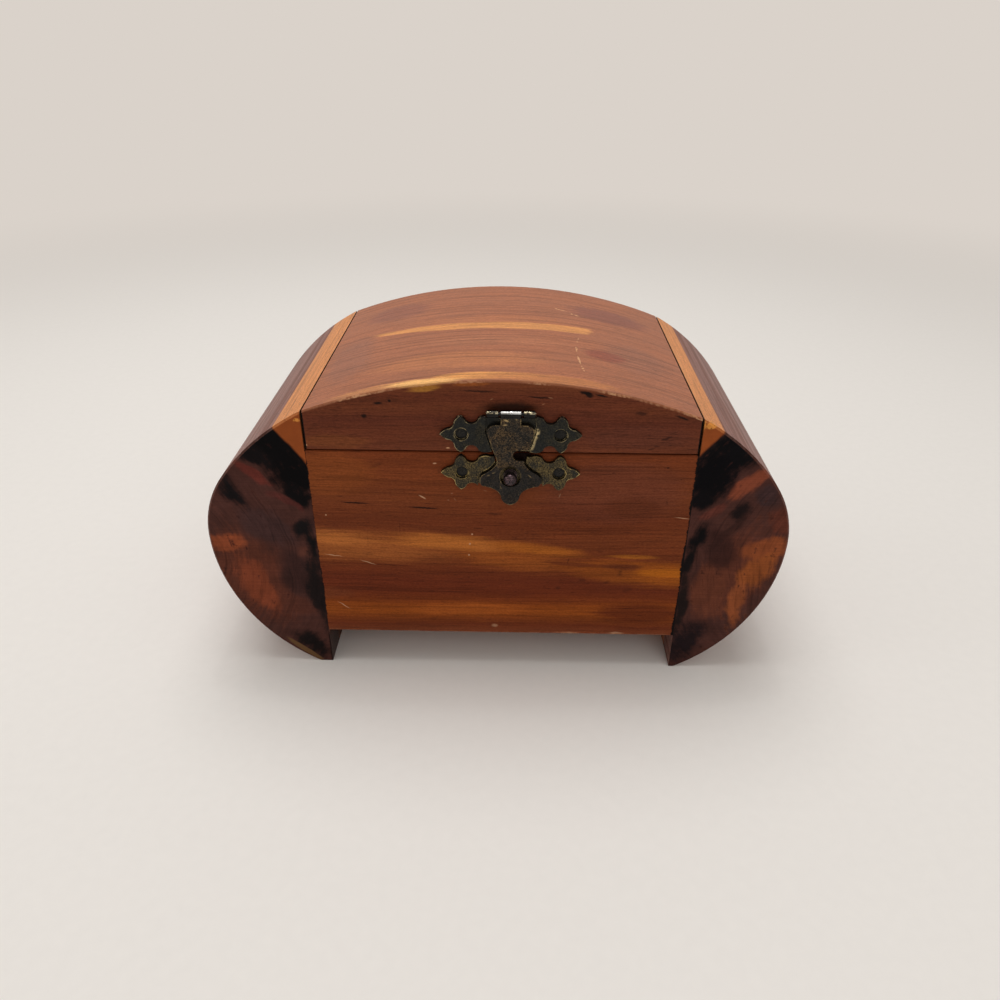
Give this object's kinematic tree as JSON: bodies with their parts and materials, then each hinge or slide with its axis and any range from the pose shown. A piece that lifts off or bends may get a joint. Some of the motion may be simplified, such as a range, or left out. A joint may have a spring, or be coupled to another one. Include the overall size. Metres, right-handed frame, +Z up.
{
  "type": "treasure chest box",
  "caption": "Small cedar box with an arched lid between solid rounded end blocks that also form its feet, with a brass hasp latch and back hinges.",
  "frame": {"origin": "on the floor under the middle of the whole box, latch knob and hinges included", "axes": "+X along the box to the viewer's right, +Y to the back with the latch facing -Y, +Z up"},
  "size_m": [0.152, 0.0864, 0.0873],
  "materials": {
    "front_board_cedar": "oiled",
    "plain_board_cedar": "oiled",
    "left_block_cedar": "oiled",
    "right_block_cedar": "oiled",
    "tenon_wood": "bare",
    "lid_cedar": "oiled",
    "plate_brass": "aged",
    "hasp_bronze": "aged",
    "knob_brass": "aged",
    "tack_brass": "aged",
    "hinge_brass": "aged"
  },
  "bodies": {
    "box": {"front_board": "front_board_cedar", "back_board": "plain_board_cedar", "bottom_board": "plain_board_cedar", "left_end_block": "left_block_cedar", "right_end_block": "right_block_cedar", "board_tenons": "tenon_wood", "catch_plate": "plate_brass", "catch_plate_tacks": "tack_brass", "catch_knob": "knob_brass", "left_hinge_body_leaf": "hinge_brass", "right_hinge_body_leaf": "hinge_brass", "left_hinge_pin": "hinge_brass", "right_hinge_pin": "hinge_brass", "hinge_body_tacks": "tack_brass"},
    "lid": {"lid": "lid_cedar", "lid_latch_plate": "plate_brass", "lid_latch_tacks": "tack_brass", "hasp_pin": "tack_brass", "left_hinge_lid_leaf": "hinge_brass", "right_hinge_lid_leaf": "hinge_brass", "hinge_lid_tacks": "tack_brass"},
    "hasp": {"hasp": "hasp_bronze"}
  },
  "joints": [
    {"name": "lid_hinge", "type": "hinge", "parent": "box", "child": "lid", "pos_m": [0.0011, 0.04199, 0.0685], "axis": [-1, 0, 0], "range_deg": [0, 110]},
    {"name": "hasp_hinge", "type": "hinge", "parent": "lid", "child": "hasp", "pos_m": [0.0034, -0.03982, 0.0794], "axis": [-1, 0, 0], "range_deg": [0, 150]}
  ]
}
